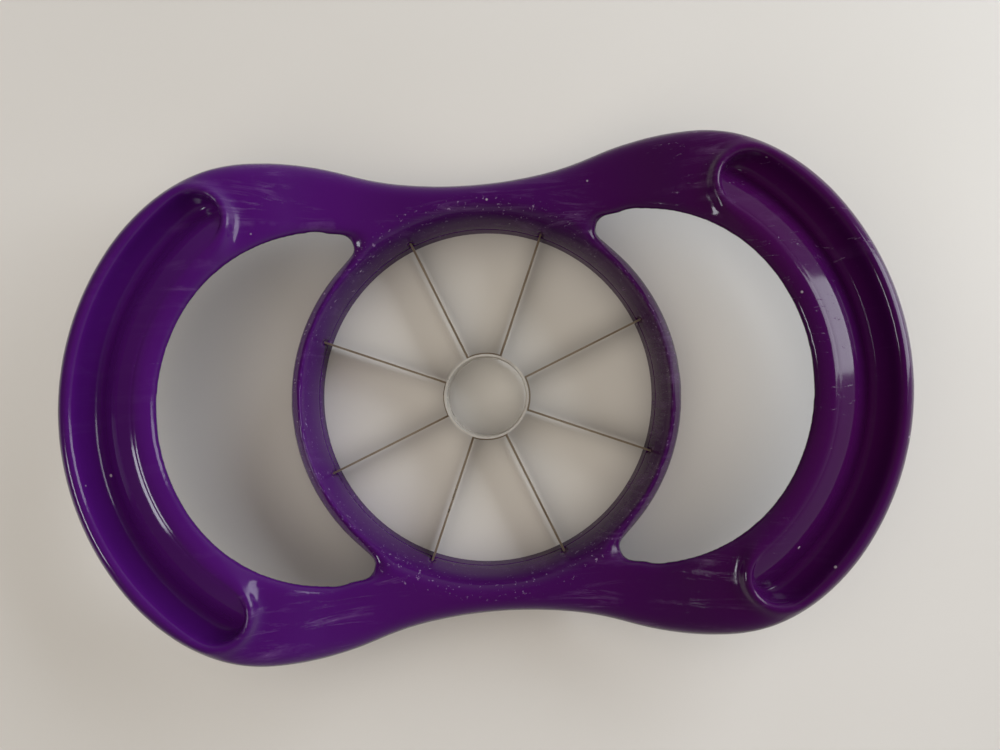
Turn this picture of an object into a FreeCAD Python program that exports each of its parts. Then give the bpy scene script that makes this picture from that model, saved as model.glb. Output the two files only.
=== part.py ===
# Apple slicer pressed down by two raised handles: a moulded plastic frame, a ring
# that closes its blade seats, a corer tube and four bent steel blade strips.
# Origin: centre of the cutting circle, on the surface that the slicer stands on.
# X runs along the slicer from handle to handle, Y across it, Z up.
import FreeCAD, Part
import math
import os

import Sketcher

V = FreeCAD.Vector
UP = V(0, 0, 1)

# Points of a sketch's edge, and the two axes of a sketch
START, END, CENTRE = range(1, 4)
X_AXIS, Y_AXIS = range(-1, -3, -1)

# Driving dimensions in millimetres and degrees
SIZES = [
    ("overall_length", 198.0, "handle to handle"),
    ("overrun", 5.0, "how far shapes that cut or bound others reach past them"),
    ("lobe_radius", 50.0, "outline at the four wide shoulders"),
    ("waist_radius", 108.0, "hollow outline between the shoulders"),
    ("waist_width", 107.0, "narrowest width, across the cutting circle"),
    ("rim_height", 34.0, "top of the handles above the table"),
    ("saddle_height", 20.0, "top of the frame above the cutting circle"),
    ("saddle_flat", 18.0, "half length of the low part of the top"),
    ("handle_inset", 27.0, "length of each handle's level top, in from the end"),
    ("handle_start", "=overall_length / 2 - handle_inset", "where that level top starts"),
    ("grip_underside", 19.0, "lower edge of the outer wall at the handles"),
    ("skirt_height", 8.0, "lower edge of the outer wall beside the cutting circle"),
    ("shell_wall", 3.4, "thickness of the top where it is hollow below"),
    ("skirt_wall", 3.6, "thickness of the outer wall"),
    ("waist_solid", 26.0, "half length of the solid part beside the cutting circle"),
    ("edge_round", 4.2, "rounding of the outer top edge"),
    ("grip_round", 1.7, "rounding of the outer lower edge"),
    ("bore_radius", 44.5, "cutting circle"),
    ("ring_wall", 4.5, "wall between cutting circle and hand opening"),
    ("funnel_round", 4.4, "rounding from the top into the cutting circle"),
    ("slope_start", 17.0, "outer edge of the ring's sloping top beside each hand opening"),
    ("slope_rise", 7.5, "rise of that sloping top"),
    ("slope_reach", 11.0, "how far it reaches in over its rise"),
    ("corner_radius", 4.8, "corners of the hand opening beside the ring"),
    ("channel_inset", 12.6, "centre line of the channel, in from the end"),
    ("channel_arc", 54.4, "radius of that centre line"),
    ("arc_centre", "=overall_length / 2 - channel_inset - channel_arc", "centre of its curve"),
    ("channel_angle", 54.0, "half angle of the channel's centre line"),
    ("channel_half", 6.9, "half width of the channel"),
    ("channel_floor", 25.2, "bottom of the channel above the table"),
    ("lip_wall", 2.4, "wall round the channel"),
    ("lip_round", 1.15, "rounding of that wall's top"),
    ("lip_proud", 0.3, "that wall above the top of the handles"),
    ("bead_width", 4.3, "rim between the channel and the hand opening"),
    ("bead_round", 1.6, "rounding of that rim's upper edge"),
    ("bead_under", 1.2, "rounding of that rim's lower edge"),
    ("blade_height", 7.7, "height of the blade strips"),
    ("blade_low", 0.8, "cutting edges above the table"),
    ("half_steel", 0.25, "half thickness of the blade strips"),
    ("edge_taper", 1.4, "height of the ground cutting edge"),
    ("tab_length", 1.5, "how far a blade reaches into its seat"),
    ("seat_width", 1.0, "width of a blade seat"),
    ("mark_depth", 0.6, "depth of the mark left above each seat"),
    ("mark_height", 2.0, "height of that mark"),
    ("closer_height", 5.0, "height of the ring that closes the seats"),
    ("closer_wall", 2.2, "wall of that ring"),
    ("joint_bevel", 0.3, "bevel that shows at that ring's joint"),
    ("corer_radius", 10.85, "outside of the corer tube"),
    ("corer_steel", 0.5, "wall of the corer tube"),
    ("corer_height", 11.5, "height of the corer tube"),
    ("clearance", 0.04, "gap between pieces that fit in each other"),
]
NEAR = 0.05
PETALS = {"blade_right": 0, "blade_rear": 90, "blade_left": 180, "blade_front": 270}
SPOKES = 8

doc = FreeCAD.newDocument("apple_slicer")
sheet = doc.addObject("Spreadsheet::Sheet", "Sizes")
for row, (alias, value, note) in enumerate(SIZES, start=1):
    sheet.set("A%d" % row, alias)
    sheet.set("B%d" % row, str(value))
    sheet.set("C%d" % row, note)
    sheet.setAlias("B%d" % row, alias)
doc.recompute()


def size(alias):
    """Value of one driving dimension."""
    return float(sheet.get(alias))


def bind(obj, prop, formula):
    """Tie a property to the sheet; names in the formula are the sheet's aliases."""
    words = formula.replace("(", " ( ").replace(")", " ) ").split()
    known = {alias for alias, _, _ in SIZES}
    obj.setExpression(prop, " ".join("Sizes." + word if word in known else word for word in words))


def add(kind, name, **properties):
    """New document object with its properties set."""
    obj = doc.addObject(kind, name)
    for prop, value in properties.items():
        setattr(obj, prop, value)
    return obj


def polar(centre, radius, angle):
    """Point on a circle, angle in degrees."""
    turn = math.radians(angle)
    return (centre[0] + radius * math.cos(turn), centre[1] + radius * math.sin(turn))


def heading(start, end):
    """Direction from one point to another, in degrees."""
    return math.degrees(math.atan2(end[1] - start[1], end[0] - start[0]))


def meet(first, first_radius, second, second_radius):
    """Crossing of two circles that lies furthest to the upper right."""
    gap = math.dist(first, second)
    along = (first_radius ** 2 - second_radius ** 2 + gap ** 2) / (2 * gap)
    off = math.sqrt(first_radius ** 2 - along ** 2)
    ux = (second[0] - first[0]) / gap
    uy = (second[1] - first[1]) / gap
    base = (first[0] + ux * along, first[1] + uy * along)
    sides = [(base[0] + side * uy * off, base[1] - side * ux * off) for side in (1, -1)]
    return max(sides, key=sum)


class Outline:
    """A closed sketch of arcs and lines, whose sizes follow the sheet."""

    def __init__(self, name, placement=None):
        self.sketch = doc.addObject("Sketcher::SketchObject", name)
        if placement:
            self.sketch.Placement = placement

    def arc(self, centre, radius, start, end):
        """Arc from start to end in degrees, anticlockwise."""
        circle = Part.Circle(V(centre[0], centre[1], 0), UP, radius)
        arc = Part.ArcOfCircle(circle, math.radians(start), math.radians(end))
        return self.sketch.addGeometry(arc, False)

    def line(self, start, end):
        """Straight edge."""
        segment = Part.LineSegment(V(start[0], start[1], 0), V(end[0], end[1], 0))
        return self.sketch.addGeometry(segment, False)

    def join(self, kind, *ends):
        """Join two edge ends, each given as edge number and START or END."""
        self.sketch.addConstraint(Sketcher.Constraint(kind, *ends))

    def hold(self, kind, where, value, formula):
        """Dimension that follows the sheet."""
        index = self.sketch.addConstraint(Sketcher.Constraint(kind, *where, value))
        bind(self.sketch, "Constraints[%d]" % index, formula)

    def radius(self, edge, value, formula):
        """Radius of an arc."""
        self.hold("Radius", (edge,), value, formula)

    def centre_on(self, edge, axis):
        """Keep an arc's centre on an axis of the sketch."""
        self.sketch.addConstraint(Sketcher.Constraint("PointOnObject", edge, CENTRE, axis))


def amount(formula):
    """Value of a sum or difference of the sheet's dimensions."""
    total = 0.0
    sign = 1
    for word in formula.split():
        if word in "+-":
            sign = 1 if word == "+" else -1
        else:
            total += sign * (size(word) if word[0].isalpha() else float(word))
    return total


def plan_outline(name, inset="0"):
    """Frame seen from above: eight tangent arcs, moved inwards by the size named inset."""
    inward = amount(inset)
    end_radius = size("overall_length") / 2 - size("arc_centre") - inward
    end_x = size("arc_centre")
    lobe_radius = size("lobe_radius") - inward
    waist_radius = size("waist_radius") + inward
    waist_y = size("waist_width") / 2 + size("waist_radius")
    lobe = meet((end_x, 0), end_radius - lobe_radius, (0, waist_y), waist_radius + lobe_radius)
    to_lobe = heading((end_x, 0), lobe)
    to_waist = heading(lobe, (0, waist_y))
    plan = Outline(name)
    right = plan.arc((end_x, 0), end_radius, -to_lobe, to_lobe)
    rear_right = plan.arc(lobe, lobe_radius, to_lobe, to_waist)
    rear = plan.arc((0, waist_y), waist_radius, 360 - to_waist, 180 + to_waist)
    rear_left = plan.arc((-lobe[0], lobe[1]), lobe_radius, 180 - to_waist, 180 - to_lobe)
    left = plan.arc((-end_x, 0), end_radius, 180 - to_lobe, 180 + to_lobe)
    front_left = plan.arc((-lobe[0], -lobe[1]), lobe_radius, 180 + to_lobe, 360 - to_waist)
    front = plan.arc((0, -waist_y), waist_radius, 180 - to_waist, to_waist)
    front_right = plan.arc((lobe[0], -lobe[1]), lobe_radius, 180 + to_waist, 360 - to_lobe)
    plan.join("Tangent", right, END, rear_right, START)
    plan.join("Tangent", rear_right, END, rear, END)
    plan.join("Tangent", rear, START, rear_left, START)
    plan.join("Tangent", rear_left, END, left, START)
    plan.join("Tangent", left, END, front_left, START)
    plan.join("Tangent", front_left, END, front, END)
    plan.join("Tangent", front, START, front_right, START)
    plan.join("Tangent", front_right, END, right, START)
    for edge, side in ((right, 1), (left, -1)):
        plan.centre_on(edge, X_AXIS)
        plan.radius(edge, end_radius,
                    "overall_length / 2 - arc_centre - " + inset)
        formula = "arc_centre" if side > 0 else "0 - arc_centre"
        plan.hold("DistanceX", (X_AXIS, START, edge, CENTRE), side * end_x, formula)
    for edge, side in ((rear, 1), (front, -1)):
        plan.centre_on(edge, Y_AXIS)
        plan.radius(edge, waist_radius, "waist_radius + " + inset)
        formula = "waist_width / 2 + waist_radius" if side > 0 else "0 - waist_width / 2 - waist_radius"
        plan.hold("DistanceY", (X_AXIS, START, edge, CENTRE), side * waist_y, formula)
    for edge in (rear_right, rear_left, front_left, front_right):
        plan.radius(edge, lobe_radius, "lobe_radius - " + inset)
    return plan.sketch


def rise(shape, flat_end, low, far, high, half_length):
    """One side of the frame seen from the front: low flat, S of two arcs, high flat.

    Returns the edges from the right to the left."""
    run = far - flat_end
    climb = high - low
    bend = (run ** 2 + climb ** 2) / (4 * climb)
    turn = math.degrees(math.asin(run / 2 / bend))
    edges = {}
    edges["right_flat"] = shape.line((half_length, high), (far, high))
    edges["right_crest"] = shape.arc((far, high - bend), bend, 90, 90 + turn)
    edges["right_hollow"] = shape.arc((flat_end, low + bend), bend, 270, 270 + turn)
    edges["middle"] = shape.line((flat_end, low), (-flat_end, low))
    edges["left_hollow"] = shape.arc((-flat_end, low + bend), bend, 270 - turn, 270)
    edges["left_crest"] = shape.arc((-far, high - bend), bend, 90 - turn, 90)
    edges["left_flat"] = shape.line((-far, high), (-half_length, high))
    shape.join("Tangent", edges["right_flat"], END, edges["right_crest"], START)
    shape.join("Tangent", edges["right_crest"], END, edges["right_hollow"], END)
    shape.join("Tangent", edges["right_hollow"], START, edges["middle"], START)
    shape.join("Tangent", edges["middle"], END, edges["left_hollow"], END)
    shape.join("Tangent", edges["left_hollow"], START, edges["left_crest"], START)
    shape.join("Tangent", edges["left_crest"], END, edges["left_flat"], START)
    return edges


FRONT_VIEW = FreeCAD.Placement(V(0, 0, 0), FreeCAD.Rotation(V(1, 0, 0), 90))


def side_profile(name, top_heights, under_heights):
    """Band between two such curves, seen from the front.

    Each pair holds the formulas of a curve's low and high flats."""
    profile = Outline(name, FRONT_VIEW)
    past_end = size("overall_length") / 2 + size("overrun")
    curves = []
    for heights in (top_heights, under_heights):
        low, high = [amount(formula) for formula in heights]
        curve = rise(profile, size("saddle_flat"), low, size("handle_start"), high, past_end)
        curves.append((curve, heights))
    top = curves[0][0]
    under = curves[1][0]
    right = profile.line((past_end, amount(under_heights[1])), (past_end, amount(top_heights[1])))
    left = profile.line((-past_end, amount(top_heights[1])), (-past_end, amount(under_heights[1])))
    profile.join("Coincident", under["right_flat"], START, right, START)
    profile.join("Coincident", right, END, top["right_flat"], START)
    profile.join("Coincident", top["left_flat"], END, left, START)
    profile.join("Coincident", left, END, under["left_flat"], END)
    for edge in (right, left):
        profile.sketch.addConstraint(Sketcher.Constraint("Vertical", edge))
    for curve, (low, high) in curves:
        for edge in ("right_flat", "middle", "left_flat"):
            profile.sketch.addConstraint(Sketcher.Constraint("Horizontal", curve[edge]))
        for edge, point, side in (("middle", START, 1), ("middle", END, -1)):
            formula = "saddle_flat" if side > 0 else "0 - saddle_flat"
            where = (X_AXIS, START, curve[edge], point)
            profile.hold("DistanceX", where, side * size("saddle_flat"), formula)
        for edge, point, side in (("right_flat", END, 1), ("left_flat", START, -1)):
            formula = "handle_start" if side > 0 else "0 - handle_start"
            where = (X_AXIS, START, curve[edge], point)
            profile.hold("DistanceX", where, side * size("handle_start"), formula)
            profile.hold("DistanceY", (X_AXIS, START, curve[edge], point), amount(high), high)
        where = (X_AXIS, START, curve["middle"], START)
        profile.hold("DistanceY", where, amount(low), low)
        for side in ("right", "left"):
            pair = (curve[side + "_crest"], curve[side + "_hollow"])
            profile.sketch.addConstraint(Sketcher.Constraint("Equal", *pair))
    for edge, side, formula in ((right, 1, "overall_length / 2 + overrun"),
                                (left, -1, "0 - overall_length / 2 - overrun")):
        profile.hold("DistanceX", (X_AXIS, START, edge, START), side * past_end, formula)
    return profile.sketch


def extrude(name, base, direction, length, both_ways=False):
    """Solid swept straight from a closed sketch; length is a formula of the sheet."""
    obj = add("Part::Extrusion", name, Base=base, DirMode="Custom", Dir=direction,
              Solid=True, Symmetric=both_ways)
    bind(obj, "LengthFwd", length)
    return obj


def check(obj):
    """Recompute and stop if the object failed."""
    doc.recompute()
    if not obj.isValid() or obj.Shape.isNull() or not obj.Shape.isValid():
        raise RuntimeError("failed: " + obj.Label)
    return obj


def rise_height(x, heights):
    """Height of that curve at a distance x from the middle."""
    low, high = [amount(formula) for formula in heights]
    run = size("handle_start") - size("saddle_flat")
    climb = high - low
    bend = (run ** 2 + climb ** 2) / (4 * climb)
    along = min(max(abs(x) - size("saddle_flat"), 0), run)
    if along < run / 2:
        return low + bend - math.sqrt(bend ** 2 - along ** 2)
    return high - bend + math.sqrt(bend ** 2 - (run - along) ** 2)


def middle(edge):
    """Point half way along an edge."""
    return edge.valueAt((edge.FirstParameter + edge.LastParameter) / 2)


def round_edges(name, base, radius, chosen):
    """Fillet of the edges for which chosen(edge) is true."""
    obj = add("Part::Fillet", name, Base=base)
    numbers = [n for n, edge in enumerate(base.Shape.Edges, start=1) if chosen(edge)]
    if not numbers:
        raise RuntimeError("no edges to round: " + name)
    obj.Edges = [(n, radius, radius) for n in numbers]
    return check(obj)


def follows(edge, heights):
    """True for an edge half way along which one of the two curves passes."""
    point = middle(edge)
    return abs(point.z - rise_height(point.x, heights)) < NEAR


def on_rim(edge, heights):
    """True for an edge of the outline's wall that follows one of the two curves."""
    across = edge.BoundBox.XLength < NEAR < edge.BoundBox.YLength
    return not across and follows(edge, heights)


HAND_RADIUS = "channel_arc - channel_half - bead_width"


def hand_opening(name, ring_radius, corner_radius, ring_formula, height_formula):
    """Hand opening seen from above, between the ring and one handle."""
    hand_x = size("arc_centre")
    hand_formula = HAND_RADIUS
    hand_radius = amount(HAND_RADIUS)
    corner = meet((0, 0), ring_radius + corner_radius, (hand_x, 0), hand_radius - corner_radius)
    to_corner = heading((hand_x, 0), corner)
    around = heading((0, 0), corner)
    opening = Outline(name)
    bind(opening.sketch, "Placement.Base.z", height_formula)
    hand = opening.arc((hand_x, 0), hand_radius, -to_corner, to_corner)
    rear = opening.arc(corner, corner_radius, to_corner, 180 + around)
    ring = opening.arc((0, 0), ring_radius, -around, around)
    front = opening.arc((corner[0], -corner[1]), corner_radius, 180 - around, 360 - to_corner)
    opening.join("Tangent", hand, END, rear, START)
    opening.join("Tangent", rear, END, ring, END)
    opening.join("Tangent", ring, START, front, START)
    opening.join("Tangent", front, END, hand, START)
    opening.centre_on(hand, X_AXIS)
    opening.hold("DistanceX", (X_AXIS, START, hand, CENTRE), hand_x, "arc_centre")
    opening.radius(hand, hand_radius, hand_formula)
    opening.join("Coincident", ring, CENTRE, X_AXIS, START)
    opening.radius(ring, ring_radius, ring_formula)
    for edge in (rear, front):
        opening.radius(edge, corner_radius, "corner_radius")
    return opening.sketch


def tube(name, outer, inner, height, low="0"):
    """Upright tube about the cutting circle's axis; all four are formulas."""
    parts = []
    for label, radius in ((name + "_outer", outer), (name + "_inner", inner)):
        part = add("Part::Cylinder", label)
        bind(part, "Radius", radius)
        bind(part, "Height", height)
        bind(part, "Placement.Base.z", low)
        parts.append(part)
    return check(add("Part::Cut", name, Base=parts[0], Tool=parts[1]))


plan = plan_outline("plan_outline")
TOP = ("saddle_height", "rim_height")
UNDER = ("skirt_height", "grip_underside")
SHELL = ("saddle_height - shell_wall", "rim_height - shell_wall")
profile = side_profile("side_profile", TOP, UNDER)
plan_block = check(extrude("plan_block", plan, UP, "rim_height + overrun"))
profile_block = check(extrude("profile_block", profile, V(0, 1, 0), "overall_length", True))
saddle = check(add("Part::Common", "saddle", Base=plan_block, Tool=profile_block))
top_rounded = round_edges("top_rounded", saddle, size("edge_round"),
                          lambda edge: on_rim(edge, TOP))
under_rounded = round_edges("under_rounded", top_rounded, size("grip_round"),
                            lambda edge: on_rim(edge, UNDER))
bore = add("Part::Cylinder", "bore")
bind(bore, "Radius", "bore_radius")
bind(bore, "Height", "rim_height + overrun")
bored = check(add("Part::Cut", "bored", Base=under_rounded, Tool=bore))


def on_mouth(edge):
    """True for an edge where the bore meets the top."""
    point = middle(edge)
    on_bore = abs(math.hypot(point.x, point.y) - size("bore_radius")) < NEAR
    return on_bore and follows(edge, TOP)


funnel = round_edges("funnel", bored, size("funnel_round"), on_mouth)


def turned_copy(name, base, angle):
    """Copy of a solid, turned about the upright axis through the origin."""
    obj = add("Part::Feature", name)
    obj.Shape = base.Shape.copy()
    obj.Placement = FreeCAD.Placement(V(0, 0, 0), FreeCAD.Rotation(UP, angle)).multiply(obj.Placement)
    return obj


def opening_tool():
    """What is cut away for one hand: upright below, leaning over the ring, upright above."""
    ring = size("bore_radius") + size("ring_wall")
    lower = hand_opening("opening_low", ring, size("corner_radius"),
                         "bore_radius + ring_wall", "0 - overrun")
    middle_sketch = hand_opening("opening_middle", ring, size("corner_radius"),
                                 "bore_radius + ring_wall", "slope_start")
    upper = hand_opening("opening_high", ring - size("slope_reach"), size("corner_radius"),
                         "bore_radius + ring_wall - slope_reach", "slope_start + slope_rise")
    doc.recompute()
    straight = check(extrude("opening_straight", lower, UP, "rim_height + overrun * 2"))
    leaning = check(add("Part::Loft", "opening_leaning", Sections=[middle_sketch, upper],
                        Solid=True, Ruled=True))
    above = check(extrude("opening_above", upper, UP, "rim_height"))
    return check(add("Part::MultiFuse", "opening_tool", Shapes=[straight, leaning, above]))


tool = opening_tool()
left_tool = turned_copy("left_opening_tool", tool, 180)
ring_wall = tube("ring_wall", "bore_radius + ring_wall", "bore_radius", "slope_start")
ringed = check(add("Part::Fuse", "ringed", Base=funnel, Tool=ring_wall, Refine=True))
opened = check(add("Part::Cut", "opened_right", Base=ringed, Tool=tool, Refine=True))
opened = check(add("Part::Cut", "opened", Base=opened, Tool=left_tool, Refine=True))


def on_hand_edge(edge, heights):
    """True for an edge of a hand opening, along the handle and the waist."""
    point = middle(edge)
    off = abs(math.hypot(abs(point.x) - size("arc_centre"), point.y) - amount(HAND_RADIUS))
    return off < NEAR and follows(edge, heights)


eased = round_edges("eased", opened, size("bead_round"), lambda edge: on_hand_edge(edge, TOP))

# Space under the top, open to the hand openings, closed by the outer wall and the ring
hollow_plan = plan_outline("hollow_plan", "skirt_wall")
hollow_profile = side_profile("hollow_profile", SHELL, ("0 - overrun - overrun", "0 - overrun"))
hollow_block = check(extrude("hollow_block", hollow_plan, UP, "rim_height"))
hollow_band = check(extrude("hollow_band", hollow_profile, V(0, 1, 0), "overall_length", True))
hollow_space = check(add("Part::Common", "hollow_space", Base=hollow_block, Tool=hollow_band))
ring_core = add("Part::Cylinder", "ring_core")
bind(ring_core, "Radius", "bore_radius + ring_wall")
bind(ring_core, "Height", "rim_height + overrun")
waist_core = add("Part::Box", "waist_core")
bind(waist_core, "Length", "waist_solid * 2")
bind(waist_core, "Width", "overall_length")
bind(waist_core, "Height", "rim_height + overrun")
bind(waist_core, "Placement.Base.x", "0 - waist_solid")
bind(waist_core, "Placement.Base.y", "0 - overall_length / 2")
cores = check(add("Part::Fuse", "cores", Base=ring_core, Tool=waist_core))
hollow = check(add("Part::Cut", "hollow", Base=hollow_space, Tool=cores))
shelled = check(add("Part::Cut", "shelled", Base=eased, Tool=hollow, Refine=True))
beaded = round_edges("beaded", shelled, size("bead_under"),
                     lambda edge: on_hand_edge(edge, SHELL))


def section(name, corners, arcs=None):
    """Closed sketch in the front view; corners are pairs of formulas.

    arcs maps a corner's number to the radius and centre of the arc that leaves it,
    and to whether that arc runs anticlockwise."""
    arcs = arcs or {}
    shape = Outline(name, FRONT_VIEW)
    spots = [(amount(x), amount(z)) for x, z in corners]
    edges = []
    for n, here in enumerate(spots):
        after = spots[(n + 1) % len(spots)]
        if n not in arcs:
            edges.append((shape.line(here, after), START, END))
            continue
        radius, centre, anticlockwise = arcs[n]
        middle_point = (amount(centre[0]), amount(centre[1]))
        first = heading(middle_point, here)
        last = heading(middle_point, after)
        if not anticlockwise:
            first, last = last, first
        last += 360 if last <= first else 0
        edge = shape.arc(middle_point, amount(radius), first, last)
        shape.radius(edge, amount(radius), radius)
        edges.append((edge, START, END) if anticlockwise else (edge, END, START))
    for n, (edge, first, last) in enumerate(edges):
        following = edges[(n + 1) % len(edges)]
        shape.join("Coincident", edge, last, following[0], following[1])
        x, z = corners[n]
        shape.hold("DistanceX", (X_AXIS, START, edge, first), amount(x), x)
        shape.hold("DistanceY", (X_AXIS, START, edge, first), amount(z), z)
    return shape.sketch


def revolve(name, base, reach, angle, both_ways=False):
    """Solid turned from a section about the upright axis at a distance from the origin."""
    obj = add("Part::Revolution", name, Source=base, Axis=UP, Solid=True, Symmetric=both_ways)
    bind(obj, "Base.x", reach)
    bind(obj, "Angle", angle)
    return check(obj)


def trough(name, middle_section, half_section):
    """Curved run along a handle with a round bowl at each end."""
    bind(middle_section, "Placement.Base.x", "arc_centre + channel_arc")
    doc.recompute()
    run = revolve(name + "_run", middle_section, "arc_centre",
                  "channel_angle * 2", True)
    bowl = revolve(name + "_bowl", half_section, "0", "360")
    pieces = [run]
    axis_x = size("arc_centre")
    for side, label in ((1, "_rear_end"), (-1, "_front_end")):
        x, y = polar((axis_x, 0), size("channel_arc"), side * size("channel_angle"))
        end = add("Part::Feature", name + label)
        end.Shape = bowl.Shape.copy()
        end.Placement = FreeCAD.Placement(V(x, y, 0), FreeCAD.Rotation())
        pieces.append(end)
    return check(add("Part::MultiFuse", name, Shapes=pieces, Refine=True))


FLOOR_BEND = "channel_floor + channel_half"
LIP_OUT = "channel_half + lip_wall"
LIP_LOW = "channel_floor - lip_wall"
LIP_TOP = "rim_height + lip_proud"
LIP_SHOULDER = "rim_height + lip_proud - lip_round"
LIP_TOP_EDGE = "channel_half + lip_wall - lip_round"
FLARE_OUT = "channel_half + lip_round"
ABOVE = "rim_height + lip_proud + overrun"


def across(corners):
    """The same corners on the other side of the middle, in reverse order."""
    return [("0 - " + x.replace("-", "~").replace("+", "-").replace("~", "+"), z)
            for x, z in reversed(corners)]


def lip_section(name, half):
    """Wall round the channel, solid, round below and with rounded upper corners."""
    right = [("0", LIP_LOW), (LIP_OUT, FLOOR_BEND), (LIP_OUT, LIP_SHOULDER),
             (LIP_TOP_EDGE, LIP_TOP)]
    below = (LIP_OUT, ("0", FLOOR_BEND), True)
    shoulder = ("lip_round", (LIP_TOP_EDGE, LIP_SHOULDER), True)
    if half:
        return section(name, right + [("0", LIP_TOP)], {0: below, 2: shoulder})
    left = across(right[1:])
    other = ("lip_round", (left[0][0], LIP_SHOULDER), True)
    return section(name, right + left, {0: below, 2: shoulder, 4: other, 6: below})


def channel_section(name, half):
    """Space of the channel: round floor, upright sides, rounded out at the top."""
    right = [("0", "channel_floor"), ("channel_half", FLOOR_BEND), ("channel_half", LIP_SHOULDER),
             (FLARE_OUT, LIP_TOP), (FLARE_OUT, ABOVE)]
    floor = ("channel_half", ("0", FLOOR_BEND), True)
    flare = ("lip_round", (FLARE_OUT, LIP_SHOULDER), False)
    if half:
        return section(name, right + [("0", ABOVE)], {0: floor, 2: flare})
    left = across(right[1:])
    mirrored = ("lip_round", (left[0][0], LIP_SHOULDER), False)
    return section(name, right + left, {0: floor, 2: flare, 6: mirrored, 8: floor})


lip = trough("lip", lip_section("lip_section", False), lip_section("lip_half_section", True))
channel = trough("channel", channel_section("channel_section", False),
                 channel_section("channel_half_section", True))
left_lip = turned_copy("left_lip", lip, 180)
left_channel = turned_copy("left_channel", channel, 180)
walled = check(add("Part::MultiFuse", "walled", Shapes=[beaded, lip, left_lip], Refine=True))
grooved = check(add("Part::Cut", "grooved_right", Base=walled, Tool=channel, Refine=True))
grooved = check(add("Part::Cut", "grooved", Base=grooved, Tool=left_channel, Refine=True))

BLADE_TOP = "blade_low + blade_height"


def seat(name, depth, low, height):
    """Upright slot in the wall of the cutting circle, at the right of the origin."""
    box = add("Part::Box", name)
    bind(box, "Length", "overrun + " + depth)
    bind(box, "Width", "seat_width")
    bind(box, "Height", height)
    bind(box, "Placement.Base.x", "bore_radius - overrun")
    bind(box, "Placement.Base.y", "0 - seat_width / 2")
    bind(box, "Placement.Base.z", low)
    return box


# The seats open into the closing ring's recess below and end above the blades
seat_box = seat("seat_box", "tab_length + clearance", "closer_height - overrun",
                "blade_low + blade_height - closer_height + overrun")
mark_box = seat("mark_box", "mark_depth", BLADE_TOP + " - overrun", "mark_height + overrun")
one_seat = check(add("Part::Fuse", "one_seat", Base=seat_box, Tool=mark_box))
seats = [turned_copy("seat_%d" % n, one_seat, 360.0 / SPOKES * (n + 0.5)) for n in range(SPOKES)]
recess = add("Part::Cylinder", "recess")
bind(recess, "Radius", "bore_radius + closer_wall")
bind(recess, "Height", "closer_height + overrun")
bind(recess, "Placement.Base.z", "0 - overrun")
seat_cuts = check(add("Part::MultiFuse", "seat_cuts", Shapes=seats + [recess]))
handle_frame = add("Part::Cut", "handle_frame", Base=grooved, Tool=seat_cuts)
check(handle_frame)

# Ring that closes the blade seats from below
closer_corners = [("bore_radius", "0"), ("bore_radius + closer_wall - clearance", "0"),
                  ("bore_radius + closer_wall - clearance", "closer_height"),
                  ("bore_radius + joint_bevel", "closer_height"),
                  ("bore_radius", "closer_height - joint_bevel")]
blade_retaining_ring = revolve("blade_retaining_ring", section("closer_section", closer_corners),
                               "0", "360")

corer_ring = tube("corer_ring", "corer_radius", "corer_radius - corer_steel",
                  "corer_height", "blade_low")

# Steel strip of the blades: upright sides and a ground lower edge
strip_corners = [("0", "blade_low"), ("half_steel", "blade_low + edge_taper"),
                 ("half_steel", BLADE_TOP), ("0 - half_steel", BLADE_TOP),
                 ("0 - half_steel", "blade_low + edge_taper")]
strip = section("strip_section", strip_corners)
bind(strip, "Placement.Base.x", "corer_radius + clearance + half_steel")
leg_strip = section("leg_section", strip_corners)
bind(leg_strip, "Placement.Base.y", "corer_radius + clearance + half_steel")
doc.recompute()
web = add("Part::Revolution", "web", Source=strip, Axis=UP, Solid=True, Symmetric=True)
bind(web, "Angle", "360 / %d" % SPOKES)
check(web)
leg_plate = extrude("leg_plate", leg_strip, V(0, 1, 0),
                    "bore_radius - corer_radius - 3 * clearance - half_steel")
tab = add("Part::Box", "tab")
bind(tab, "Length", "half_steel * 2")
bind(tab, "Width", "tab_length + overrun")
bind(tab, "Height", BLADE_TOP + " - closer_height")
bind(tab, "Placement.Base.x", "0 - half_steel")
bind(tab, "Placement.Base.y", "bore_radius - overrun")
bind(tab, "Placement.Base.z", "closer_height")
leg = check(add("Part::Fuse", "leg", Base=leg_plate, Tool=tab))
spread = 180.0 / SPOKES
legs = [turned_copy("leg_" + label, leg, side * spread - 90)
        for label, side in (("rear", 1), ("front", -1))]
petal = check(add("Part::MultiFuse", "petal", Shapes=[web] + legs, Refine=True))
nodes = [handle_frame, blade_retaining_ring, corer_ring]
for label, angle in PETALS.items():
    nodes.append(turned_copy(label, petal, angle))
check(nodes[-1])

os.makedirs("parts", exist_ok=True)
for obj in doc.Objects:
    if "Invalid" in obj.State or "Error" in obj.State:
        raise RuntimeError("failed: " + obj.Label)
for node in nodes:
    shape = node.Shape
    if shape.isNull() or not shape.isValid():
        raise RuntimeError("bad shape: " + node.Label)
    shape.exportStep("parts/" + node.Label + ".step")
    box = shape.BoundBox
    print("%-22s %9.1f mm3 %d solid  x %.1f..%.1f  y %.1f..%.1f  z %.1f..%.1f" % (
        node.Label, shape.Volume, len(shape.Solids), box.XMin, box.XMax, box.YMin, box.YMax,
        box.ZMin, box.ZMax))
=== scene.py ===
import math

import bmesh
import bpy
import numpy as np
from mathutils import Matrix, Vector


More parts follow.
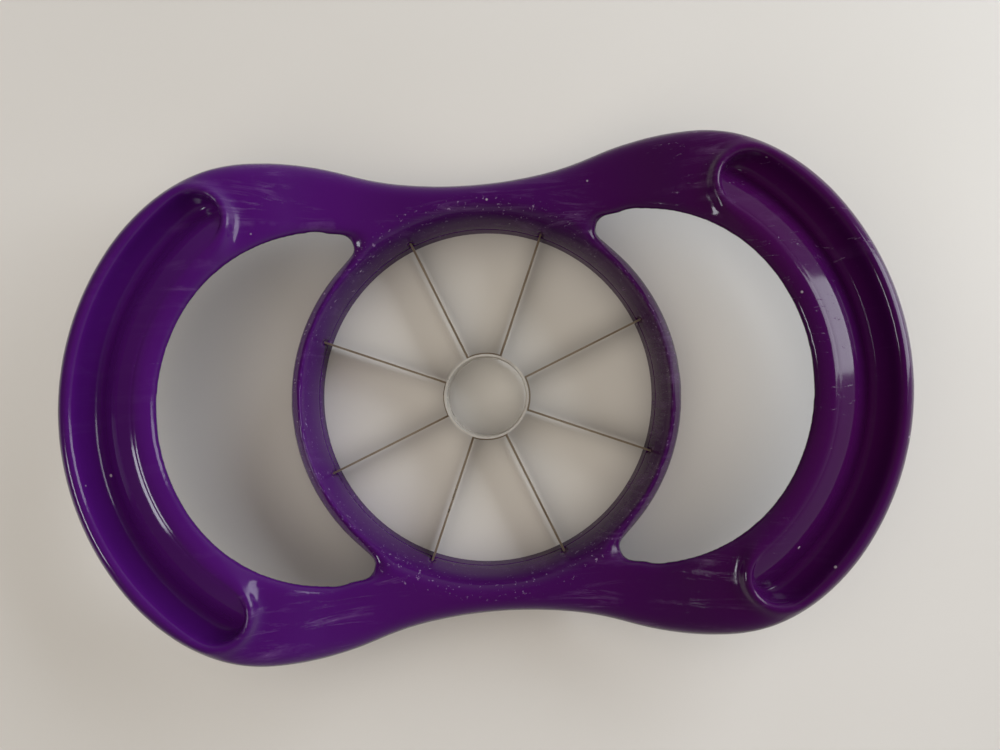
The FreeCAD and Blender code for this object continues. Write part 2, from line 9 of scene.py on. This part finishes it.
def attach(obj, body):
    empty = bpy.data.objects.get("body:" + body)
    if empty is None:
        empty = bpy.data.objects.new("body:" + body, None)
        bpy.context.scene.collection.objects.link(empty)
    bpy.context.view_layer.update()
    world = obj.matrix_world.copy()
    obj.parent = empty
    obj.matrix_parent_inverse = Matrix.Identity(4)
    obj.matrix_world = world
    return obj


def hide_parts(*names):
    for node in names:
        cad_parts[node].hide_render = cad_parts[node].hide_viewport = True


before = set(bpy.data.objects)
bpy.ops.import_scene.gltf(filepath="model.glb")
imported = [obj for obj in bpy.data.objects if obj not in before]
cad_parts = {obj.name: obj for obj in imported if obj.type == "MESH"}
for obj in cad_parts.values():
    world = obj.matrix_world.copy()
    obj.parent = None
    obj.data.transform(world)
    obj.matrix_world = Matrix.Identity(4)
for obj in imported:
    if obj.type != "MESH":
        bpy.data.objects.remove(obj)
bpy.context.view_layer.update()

MM = 0.001
scene = bpy.context.scene
scene.view_settings.view_transform = "Standard"


class Nodes:
    """Short way to lay out and link the nodes of one material."""

    def __init__(self, name):
        self.material = bpy.data.materials.new(name)
        self.material.use_nodes = True
        self.tree = self.material.node_tree
        self.shader = self.tree.nodes["Principled BSDF"]
        self.coords = self.tree.nodes.new("ShaderNodeTexCoord")

    def add(self, kind, **inputs):
        node = self.tree.nodes.new("ShaderNode" + kind)
        for key, value in inputs.items():
            self.put(node, key, value)
        return node

    def put(self, node, key, value):
        """Set a socket or link it; names use _ for spaces, and unknown ones are properties."""
        socket = node.inputs.get(key.replace("_", " "))
        if socket is None and key.startswith("in") and key[2:].isdigit():
            socket = node.inputs[int(key[2:])]
        if socket is None:
            setattr(node, key, value)
        elif isinstance(value, bpy.types.NodeSocket):
            self.tree.links.new(value, socket)
        else:
            socket.default_value = value

    def mapped(self, scale=(1, 1, 1), turn=0.0, shift=(0, 0, 0)):
        """Object coordinates stretched, turned about the upright axis (radians) and moved."""
        return self.add("Mapping", Vector=self.coords.outputs["Object"], Scale=scale,
                        Rotation=(0, 0, turn), Location=shift).outputs["Vector"]

    def noise(self, scale, detail=4.0, rough=0.55, vector=None, distortion=0.0):
        vector = vector or self.coords.outputs["Object"]
        node = self.add("TexNoise", Vector=vector, Scale=scale, Detail=detail,
                        Roughness=rough, Distortion=distortion)
        return node.outputs["Fac"]

    def ramp(self, value, stops, smooth=False):
        """Colour or grey level between stops, each a place from 0 to 1 and what it gives."""
        node = self.add("ValToRGB", Fac=value)
        node.color_ramp.interpolation = "EASE" if smooth else "LINEAR"
        elements = node.color_ramp.elements
        while len(elements) < len(stops):
            elements.new(0.5)
        for element, (place, colour) in zip(elements, stops):
            element.position = place
            grey = not isinstance(colour, tuple)
            element.color = (colour,) * 3 + (1,) if grey else colour + (1,)
        return node.outputs["Color"]

    def by_distance(self, metres, stops):
        """Ramp whose stops are millimetres, up to 100."""
        share = self.math("MULTIPLY", metres, 0.01 / MM)
        return self.ramp(share, [(place / 100, level) for place, level in stops])

    def math(self, operation, first, second, third=0.0):
        node = self.add("Math", operation=operation, in0=first, in1=second, in2=third)
        return node.outputs[0]

    def mix(self, factor, first, second):
        return self.add("MixRGB", Fac=factor, Color1=first, Color2=second).outputs["Color"]

    def tint(self, share, strength, base, colour):
        """Base colour drawn towards another where share is high, at most by strength."""
        return self.mix(self.math("MULTIPLY", share, strength), base, colour + (1,))

    def bump(self, height, strength, distance, normal=None):
        node = self.add("Bump", Height=height, Strength=strength, Distance=distance)
        if normal:
            self.tree.links.new(normal, node.inputs["Normal"])
        return node.outputs["Normal"]

    def finish(self, **inputs):
        for key, value in inputs.items():
            self.put(self.shader, key, value)
        return self.material


# Violet plastic
# Painted light and shade: the violet is lighter and bluer on the left, darker and redder on the
# right
LIT_LEFT_VIOLET = (0.054, 0.0045, 0.112)
SHADED_RIGHT_VIOLET = (0.040, 0.0025, 0.050)
DEEP_VIOLET = (0.026, 0.0020, 0.060)
RUBBED = (0.24, 0.13, 0.32)
SCRAPED = (0.42, 0.30, 0.50)
DUST = (0.55, 0.48, 0.58)
SIDE_SPAN = 200 * MM
RUB_TURN = 0.7
SCRAPE_TURN = -0.6
NECK_STOPS = [(58, 1.0), (74, 0.18)]
RING_TOP_STOPS = [(44.5, 0.0), (45.2, 1.0), (49.0, 1.0), (50.5, 0.0)]
RING_WALL_STOPS = [(45.5, 1.0), (46.5, 0.0)]
BELOW_TOP_STOPS = [(17, 1.0), (20, 0.0)]
POLISHED = 0.10
MARK_ROUGHNESS = 0.28
PLASTIC_IOR = 1.5
GLOSS = 0.40
WALL_GLOSS = 0.04


def violet():
    """Glossy moulded plastic with haze, fine scratches, lint and rubbed edges, and painted light
    and shade: lighter and bluer on the left, darker and redder on the right.
    """
    m = Nodes("violet_plastic")
    place = m.add("SeparateXYZ", Vector=m.coords.outputs["Object"]).outputs
    # Painted light and shade: the colour runs across the frame from the lit left violet to the
    # shaded right violet
    side = m.math("MULTIPLY_ADD", place["X"], 1 / SIDE_SPAN, 0.5)
    painted_shade_hue = m.ramp(side, [(0.1, LIT_LEFT_VIOLET), (0.85, SHADED_RIGHT_VIOLET)], smooth=True)
    cloud = m.ramp(m.noise(scale=22.0, detail=3.0), [(0.35, 0.0), (0.7, 0.30)])
    colour = m.mix(cloud, painted_shade_hue, DEEP_VIOLET + (1,))

    haze = m.ramp(m.noise(scale=38.0, detail=6.0, rough=0.65), [(0.46, 0.0), (0.70, 1.0)])
    along = m.mapped(scale=(1, 9, 1), turn=RUB_TURN)
    fine = m.ramp(m.noise(scale=24.0, detail=8.0, rough=0.75, vector=along, distortion=1.4),
                  [(0.52, 0.0), (0.66, 1.0)])
    neck = m.by_distance(m.math("ABSOLUTE", place["X"], 0.0), NECK_STOPS)
    rub = m.math("MULTIPLY", m.math("MULTIPLY", haze, fine), neck)
    colour = m.tint(rub, 0.34, colour, RUBBED)

    slanted = m.mapped(scale=(1, 5, 1), turn=SCRAPE_TURN)
    streaks = m.ramp(m.noise(scale=150.0, detail=6.0, rough=0.8, vector=slanted, distortion=0.8),
                     [(0.62, 0.0), (0.68, 1.0)])
    moved = m.mapped(shift=(0.31, 0.12, 0))
    spots = m.ramp(m.noise(scale=17.0, detail=2.0, rough=0.5, vector=moved),
                   [(0.54, 0.0), (0.62, 1.0)])
    scrape = m.math("MULTIPLY", streaks, spots)
    colour = m.tint(scrape, 0.45, colour, SCRAPED)

    squares = m.math("ADD", m.math("POWER", place["X"], 2.0), m.math("POWER", place["Y"], 2.0))
    radius = m.math("POWER", squares, 0.5)
    edge = m.ramp(m.add("NewGeometry").outputs["Pointiness"], [(0.52, 0.0), (0.57, 1.0)])
    worn = m.math("MAXIMUM", edge, m.by_distance(radius, RING_TOP_STOPS))
    chip = m.ramp(m.noise(scale=900.0, detail=4.0, rough=0.7), [(0.62, 0.0), (0.68, 1.0)])
    nick = m.math("MULTIPLY", worn, chip)
    colour = m.tint(nick, 0.40, colour, SCRAPED)

    specks = m.add("TexVoronoi", Vector=m.coords.outputs["Object"], Scale=190.0)
    dust = m.ramp(specks.outputs["Distance"], [(0.05, 1.0), (0.085, 0.0)])
    pick = m.add("TexWhiteNoise", Vector=specks.outputs["Position"]).outputs["Value"]
    lint = m.math("MULTIPLY", dust, m.ramp(pick, [(0.86, 0.0), (0.87, 1.0)]))
    colour = m.tint(lint, 0.60, colour, DUST)

    marks = m.math("ADD", m.math("ADD", rub, nick), scrape)
    rough = m.math("MULTIPLY_ADD", marks, MARK_ROUGHNESS, POLISHED)
    swell = m.bump(m.noise(scale=70.0, detail=2.0), strength=0.10, distance=1.5 * MM)
    relief = m.math("SUBTRACT", m.math("SUBTRACT", lint, rub), scrape)
    pits = m.bump(relief, strength=0.3, distance=0.2 * MM, normal=swell)

    # The wall of the cutting circle is dulled by juice
    dulled = m.math("MULTIPLY", m.by_distance(place["Z"], BELOW_TOP_STOPS),
                    m.by_distance(radius, RING_WALL_STOPS))
    gloss = m.ramp(dulled, [(0.0, GLOSS), (1.0, WALL_GLOSS)])
    return m.finish(Base_Color=colour, Roughness=rough, Normal=pits, IOR=PLASTIC_IOR,
                    Specular_IOR_Level=gloss)


# Steel
WATER_MARK = (0.22, 0.16, 0.11)
CORER_PALE = (0.80, 0.78, 0.74)
CORER_DARK = (0.60, 0.57, 0.52)
CORER_METAL = 0.6
# Painted shade: the blade steel is darkened to brown to stand in for the shaded table it reflects
BLADE_SHADED_PALE = (0.44, 0.37, 0.28)
BLADE_SHADED_DARK = (0.24, 0.18, 0.12)
BLADE_METAL = 0.7


def steel(name, pale, dark, metal):
    """Rolled strip with grain along it, brown water marks and dull patches."""
    m = Nodes(name)
    grain = m.noise(scale=120.0, detail=5.0, rough=0.6, vector=m.mapped(scale=(1, 1, 30)))
    patch = m.noise(scale=70.0, detail=4.0, rough=0.6)
    stain = m.ramp(patch, [(0.5, 0.0), (0.75, 0.6)])
    colour = m.mix(stain, m.ramp(grain, [(0.3, dark), (0.7, pale)]), WATER_MARK + (1,))
    rough = m.ramp(patch, [(0.3, 0.24), (0.7, 0.42)])
    normal = m.bump(grain, strength=0.15, distance=0.1 * MM)
    return m.finish(Base_Color=colour, Metallic=metal, Roughness=rough, Normal=normal)


VIOLET = violet()
LOOKS = {
    "handle_frame": VIOLET,
    "blade_retaining_ring": VIOLET,
    "corer_ring": steel("corer_steel", CORER_PALE, CORER_DARK, CORER_METAL),
}
# The blades get the darkened brown steel, a painted shade
BLADE = steel("blade_steel", BLADE_SHADED_PALE, BLADE_SHADED_DARK, BLADE_METAL)
for name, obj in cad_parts.items():
    material = LOOKS.get(name, BLADE)
    for slot in obj.material_slots:
        slot.material = material

# The frame's moulded surface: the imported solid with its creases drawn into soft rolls
MERGE = 0.002 * MM
VOXEL = 0.55 * MM
PASSES = 26
STEP = 0.55

# How freely points move: fully above this height or outside the ring
FREE_FROM = 10 * MM
FREE_OVER = 5 * MM
RING_OUTSIDE = 49.5 * MM
RING_OVER = 2 * MM

# Finger channels, by reach from the centre of their curve and turn in degrees
ARC_CENTRE = 32 * MM
CHANNEL_ARC = 54.9 * MM
CHANNEL_TURN = 54
END_ROUND = 6.8 * MM
UNDER_CHANNEL = 24.4 * MM
WIDEN_AT = [reach * MM for reach in (43.6, 46.4, 54.4, 62.4, 66.8)]
WIDEN_BY = [amount * MM for amount in (0.0, 1.2, 0.9, 0.8, 0.0)]
WIDEN_FULL_TO = 60
WIDEN_END = 75
SLOPE_AT = [reach * MM for reach in (45.0, 48.2, 49.0, 54.0, 58.6, 60.5)]
SLOPE_HEIGHT = [height * MM for height in (0.0, 33.6, 33.6, 31.5, 26.6, 0.0)]

# Cutting circle
BORE = 44.5 * MM
BORE_REACH = 48.6 * MM
FLARE_FROM = 6 * MM
FLARE_TO = 20 * MM
FLARE = 1.3 * MM


def mesh_points(mesh):
    """Corner points of a mesh, one row each."""
    points = np.empty(len(mesh.vertices) * 3)
    mesh.vertices.foreach_get("co", points)
    return points.reshape(-1, 3)


def keep_points(mesh, points):
    """Put moved points back into their mesh."""
    mesh.vertices.foreach_set("co", points.ravel())
    mesh.update()


def remeshed(source, name):
    """Copy of a piece's mesh, merged and laid out anew in small even faces."""
    mesh = source.data.copy()
    work = bmesh.new()
    work.from_mesh(mesh)
    bmesh.ops.remove_doubles(work, verts=work.verts, dist=MERGE)
    work.to_mesh(mesh)
    work.free()
    obj = bpy.data.objects.new(name, mesh)
    scene.collection.objects.link(obj)
    modifier = obj.modifiers.new("voxels", "REMESH")
    modifier.mode = "VOXEL"
    modifier.voxel_size = VOXEL
    graph = bpy.context.evaluated_depsgraph_get()
    even = bpy.data.meshes.new_from_object(obj.evaluated_get(graph))
    obj.modifiers.clear()
    obj.data = even
    return obj


def smooth_step(value):
    value = np.clip(value, 0, 1)
    return value * value * (3 - 2 * value)


def shape_handles(mesh):
    """Widen the channels outwards, and ease their inner walls into a broad slope."""
    points = mesh_points(mesh)
    side = np.sign(points[:, 0])
    across = np.abs(points[:, 0]) - ARC_CENTRE
    reach = np.hypot(across, points[:, 1])
    turn = np.degrees(np.arctan2(np.abs(points[:, 1]), across))
    fade = smooth_step((WIDEN_END - turn) / (WIDEN_END - WIDEN_FULL_TO))
    widen = np.interp(reach, WIDEN_AT, WIDEN_BY) * fade
    push = widen / np.maximum(reach, MM)
    points[:, 0] += side * push * across
    points[:, 1] += push * points[:, 1]

    end_x = ARC_CENTRE + CHANNEL_ARC * math.cos(math.radians(CHANNEL_TURN))
    end_y = CHANNEL_ARC * math.sin(math.radians(CHANNEL_TURN))
    to_end = np.hypot(np.abs(points[:, 0]) - end_x, np.abs(points[:, 1]) - end_y)
    channel = (turn < CHANNEL_TURN) | (to_end < END_ROUND)
    inside = (points[:, 2] > UNDER_CHANNEL) & channel
    slope = np.interp(reach + widen, SLOPE_AT, SLOPE_HEIGHT)
    points[:, 2] = np.where(inside, np.maximum(points[:, 2], slope), points[:, 2])
    keep_points(mesh, points)


def flare_bore(mesh):
    """Open the cutting circle slightly towards the top."""
    points = mesh_points(mesh)
    radius = np.hypot(points[:, 0], points[:, 1])
    near = np.clip((BORE_REACH - radius) / (BORE_REACH - BORE), 0, 1)
    climb = np.clip((points[:, 2] - FLARE_FROM) / (FLARE_TO - FLARE_FROM), 0, 1)
    push = FLARE * near * climb ** 2 / np.maximum(radius, MM)
    points[:, :2] += push[:, None] * points[:, :2]
    keep_points(mesh, points)


def freedom(points):
    """Full on the handles and the top, none low on the ring."""
    radius = np.hypot(points[:, 0], points[:, 1])
    high = np.clip((points[:, 2] - FREE_FROM) / FREE_OVER, 0, 1)
    away = np.clip((radius - RING_OUTSIDE) / RING_OVER, 0, 1)
    return np.maximum(high, away)


def soften(mesh):
    """Draw creases into rolls by moving each point towards the mean of its neighbours."""
    points = mesh_points(mesh)
    ends = np.empty(len(mesh.edges) * 2, dtype=np.int64)
    mesh.edges.foreach_get("vertices", ends)
    first, second = ends.reshape(-1, 2).T
    count = np.bincount(ends, minlength=len(points))[:, None]
    move = (freedom(points) * STEP)[:, None]
    for _ in range(PASSES):
        total = np.stack([np.bincount(first, points[second, axis], len(points))
                          + np.bincount(second, points[first, axis], len(points))
                          for axis in range(3)], axis=1)
        points = points + move * (total / count - points)
    keep_points(mesh, points)


moulding = remeshed(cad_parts["handle_frame"], "moulded_frame")
shape_handles(moulding.data)
flare_bore(moulding.data)
soften(moulding.data)
moulding.data.shade_smooth()
moulding.data.materials.clear()
moulding.data.materials.append(VIOLET)
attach(moulding, "root")
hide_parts("handle_frame")

# Table
TABLE_SIZE = 4.0
TABLE_DROP = 0.2 * MM
TABLE_DARK = (0.585, 0.58, 0.565)
TABLE_PALE = (0.63, 0.625, 0.62)
TABLE_ROUGHNESS = 0.4


def table_top():
    """Pale matt board with a faint cloudiness."""
    m = Nodes("table_top")
    tone = m.ramp(m.noise(scale=3.0), [(0.3, TABLE_DARK), (0.7, TABLE_PALE)])
    return m.finish(Base_Color=tone, Roughness=TABLE_ROUGHNESS)


bpy.ops.mesh.primitive_plane_add(size=TABLE_SIZE, location=(0, 0, -TABLE_DROP))
table = bpy.context.object
table.name = "table"
table.data.materials.append(table_top())

# Light: a pale room, a window on the right, a lamp on the left and a warm glow from above
HORIZON = (0.95, 0.93, 0.93, 1)
OVERHEAD = (0.06, 0.05, 0.06, 1)
OVERHEAD_FROM = 0.9
LEFT_FROM = -0.9
LEFT_TO = -0.1
LEFT_SHARE = 0.15
ROOM_LEVEL = 0.5
COOL = (0.92, 0.96, 1.0)
WARM = (1.0, 0.90, 0.76)


def room():
    """Room seen in the gloss: pale at table height, darker upwards and to the left."""
    world = bpy.data.worlds.new("studio")
    scene.world = world
    world.use_nodes = True
    sky = world.node_tree
    background = sky.nodes["Background"]
    coords = sky.nodes.new("ShaderNodeTexCoord")
    direction = sky.nodes.new("ShaderNodeSeparateXYZ")
    shade = sky.nodes.new("ShaderNodeValToRGB")
    low, high = shade.color_ramp.elements
    low.position = 0.0
    low.color = HORIZON
    high.position = OVERHEAD_FROM
    high.color = OVERHEAD
    left = sky.nodes.new("ShaderNodeMapRange")
    left.inputs["From Min"].default_value = LEFT_FROM
    left.inputs["From Max"].default_value = LEFT_TO
    left.inputs["To Min"].default_value = LEFT_SHARE
    dimmed = sky.nodes.new("ShaderNodeMixRGB")
    dimmed.blend_type = "MULTIPLY"
    dimmed.inputs["Fac"].default_value = 1.0
    sky.links.new(coords.outputs["Generated"], direction.inputs[0])
    sky.links.new(direction.outputs["Z"], shade.inputs["Fac"])
    sky.links.new(direction.outputs["X"], left.inputs["Value"])
    sky.links.new(shade.outputs["Color"], dimmed.inputs["Color1"])
    sky.links.new(left.outputs["Result"], dimmed.inputs["Color2"])
    sky.links.new(dimmed.outputs["Color"], background.inputs["Color"])
    background.inputs["Strength"].default_value = ROOM_LEVEL


def lamp(name, azimuth, zenith, distance, size, level, colour, diffuse=True, glossy=True):
    """Panel aimed at the object; angles in degrees, level is its brightness in white tables."""
    turn = math.radians(azimuth)
    lean = math.radians(zenith)
    place = Vector((math.sin(lean) * math.cos(turn), math.sin(lean) * math.sin(turn),
                    math.cos(lean))) * distance
    data = bpy.data.lights.new(name, "AREA")
    data.shape = "RECTANGLE"
    data.size, data.size_y = size
    data.energy = level * math.pi * size[0] * size[1]
    data.color = colour
    obj = bpy.data.objects.new(name, data)
    obj.location = place
    obj.rotation_euler = (-place).to_track_quat("-Z", "Y").to_euler()
    obj.visible_diffuse = diffuse
    obj.visible_glossy = glossy
    scene.collection.objects.link(obj)


room()
lamp("key", azimuth=28, zenith=67, distance=1.0, size=(1.1, 0.7), level=5.7, colour=COOL,
     glossy=False)
lamp("fill", azimuth=200, zenith=15, distance=1.6, size=(2.6, 2.6), level=1.30, colour=WARM,
     glossy=False)
lamp("window", azimuth=10, zenith=64, distance=1.3, size=(0.48, 0.95), level=4.5, colour=COOL,
     diffuse=False)
lamp("lamp_left", azimuth=194, zenith=59, distance=1.2, size=(0.34, 0.26), level=9.0, colour=COOL,
     diffuse=False)

# Camera at the photograph's viewpoint
CAMERA_AT = Vector((5.0, 0.0, 204.0)) * MM
CAMERA_AIM = Vector((3.77, 5.53, 0.0)) * MM
CAMERA_UP = Vector((0.0724, 0.9974, 0.0))
LENS_MM = 27.0
NEAREST_SEEN = 5 * MM

camera_data = bpy.data.cameras.new("camera")
camera_data.lens = LENS_MM
camera_data.clip_start = NEAREST_SEEN
camera = bpy.data.objects.new("camera", camera_data)
scene.collection.objects.link(camera)
forward = (CAMERA_AIM - CAMERA_AT).normalized()
right = forward.cross(CAMERA_UP).normalized()
up = right.cross(forward)
facing = Matrix((right, up, -forward)).transposed().to_4x4()
camera.matrix_world = Matrix.Translation(CAMERA_AT) @ facing
scene.camera = camera
